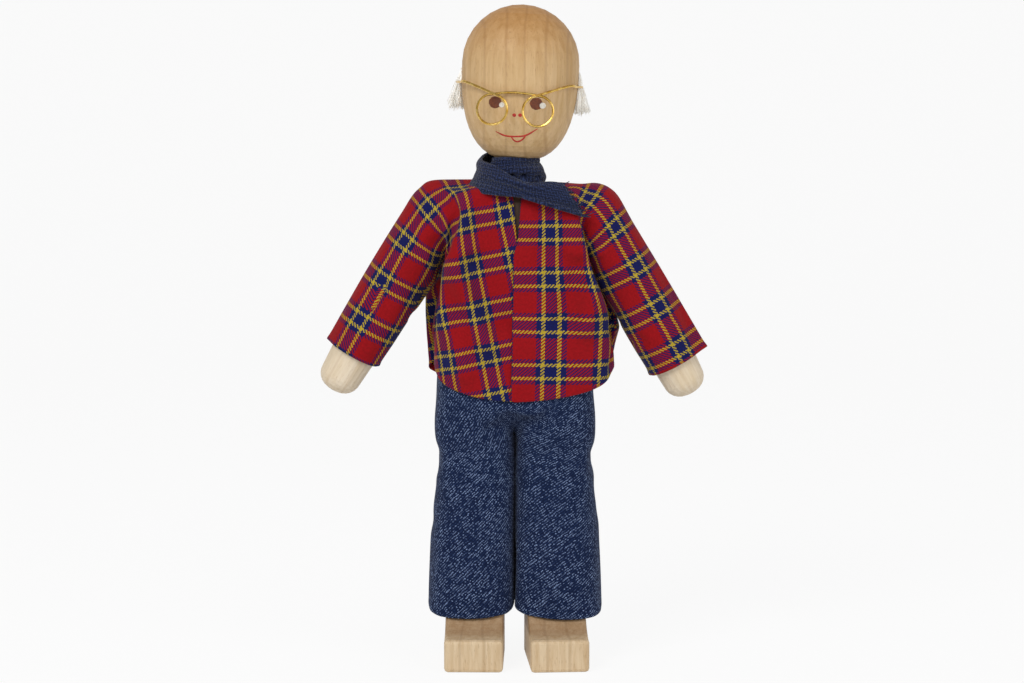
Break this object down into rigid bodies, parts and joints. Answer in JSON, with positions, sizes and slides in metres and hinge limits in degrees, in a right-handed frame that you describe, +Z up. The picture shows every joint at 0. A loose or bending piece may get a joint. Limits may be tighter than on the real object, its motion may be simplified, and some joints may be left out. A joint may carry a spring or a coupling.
{
  "type": "miniature doll",
  "caption": "Jointed wooden doll-house grandfather with round-ended arms, block feet, wire spectacles, wool side hair, plaid shirt, denim trousers and neckerchief.",
  "frame": {"origin": "on the floor, under the middle of the doll's overall box", "axes": "+Z up, along the doll's height; the face looks along -Y; the doll's left is +X"},
  "size_m": [0.0759, 0.0277, 0.1299],
  "materials": {
    "beech": "sanded and lightly oiled",
    "pale_beech": "sanded, bare",
    "turned_beech": "turned and lightly varnished, face painted",
    "steel": "drawn wire",
    "brass": "drawn wire, slightly dull",
    "wool": "loose fleece",
    "plaid_cotton": "woven check in red, navy and yellow",
    "denim": "twill, mid blue",
    "elastic": "woven elastic",
    "blue_cotton": "loose open weave"
  },
  "bodies": {
    "torso": {"torso": "beech", "neck_peg": "pale_beech", "hip_pin": "steel", "shirt_body": "plaid_cotton", "trousers_seat": "denim", "waist_elastic": "elastic", "neckerchief": "blue_cotton"},
    "head": {"head": "turned_beech", "hair_fringe": "wool", "glasses": "brass"},
    "left_upper_arm": {"upper_arm_left": "beech", "shoulder_peg_left": "pale_beech", "elbow_pin_left": "steel", "shirt_sleeve_left": "plaid_cotton"},
    "right_upper_arm": {"upper_arm_right": "beech", "shoulder_peg_right": "pale_beech", "elbow_pin_right": "steel", "shirt_sleeve_right": "plaid_cotton"},
    "left_forearm": {"forearm_left": "pale_beech"},
    "right_forearm": {"forearm_right": "pale_beech"},
    "left_thigh": {"thigh_left": "beech", "knee_pin_left": "steel", "trouser_leg_left": "denim"},
    "right_thigh": {"thigh_right": "beech", "knee_pin_right": "steel", "trouser_leg_right": "denim"},
    "left_lower_leg": {"lower_leg_left": "pale_beech"},
    "right_lower_leg": {"lower_leg_right": "pale_beech"}
  },
  "joints": [
    {"name": "neck_turn", "type": "hinge", "parent": "torso", "child": "head", "pos_m": [0, 0, 0.093], "axis": [0.0436, 0, 0.999], "range_deg": [-60, 60]},
    {"name": "left_shoulder", "type": "hinge", "parent": "torso", "child": "left_upper_arm", "pos_m": [0.0155, 0, 0.0893], "axis": [-1, 0, 0], "range_deg": [-35, 110], "deforming": ["shirt_sleeve_left", "shirt_body"]},
    {"name": "right_shoulder", "type": "hinge", "parent": "torso", "child": "right_upper_arm", "pos_m": [-0.0155, 0, 0.0893], "axis": [-1, 0, 0], "range_deg": [-35, 110], "deforming": ["shirt_sleeve_right"]},
    {"name": "left_elbow", "type": "hinge", "parent": "left_upper_arm", "child": "left_forearm", "pos_m": [0.02552, 0, 0.07085], "axis": [-0.8788, 0, -0.4772], "range_deg": [0, 90]},
    {"name": "right_elbow", "type": "hinge", "parent": "right_upper_arm", "child": "right_forearm", "pos_m": [-0.02616, 0, 0.07121], "axis": [-0.8616, 0, 0.5075], "range_deg": [0, 90]},
    {"name": "left_hip", "type": "hinge", "parent": "torso", "child": "left_thigh", "pos_m": [0.0079, 0, 0.055], "axis": [-1, 0, 0], "range_deg": [-30, 90], "deforming": ["trouser_leg_left", "trousers_seat"]},
    {"name": "right_hip", "type": "hinge", "parent": "torso", "child": "right_thigh", "pos_m": [-0.0079, 0, 0.055], "axis": [-1, 0, 0], "range_deg": [-30, 90], "deforming": ["trouser_leg_right"]},
    {"name": "left_knee", "type": "hinge", "parent": "left_thigh", "child": "left_lower_leg", "pos_m": [0.0079, 0, 0.03], "axis": [1, 0, 0], "range_deg": [0, 90]},
    {"name": "right_knee", "type": "hinge", "parent": "right_thigh", "child": "right_lower_leg", "pos_m": [-0.0079, 0, 0.03], "axis": [1, 0, 0], "range_deg": [0, 90]}
  ]
}
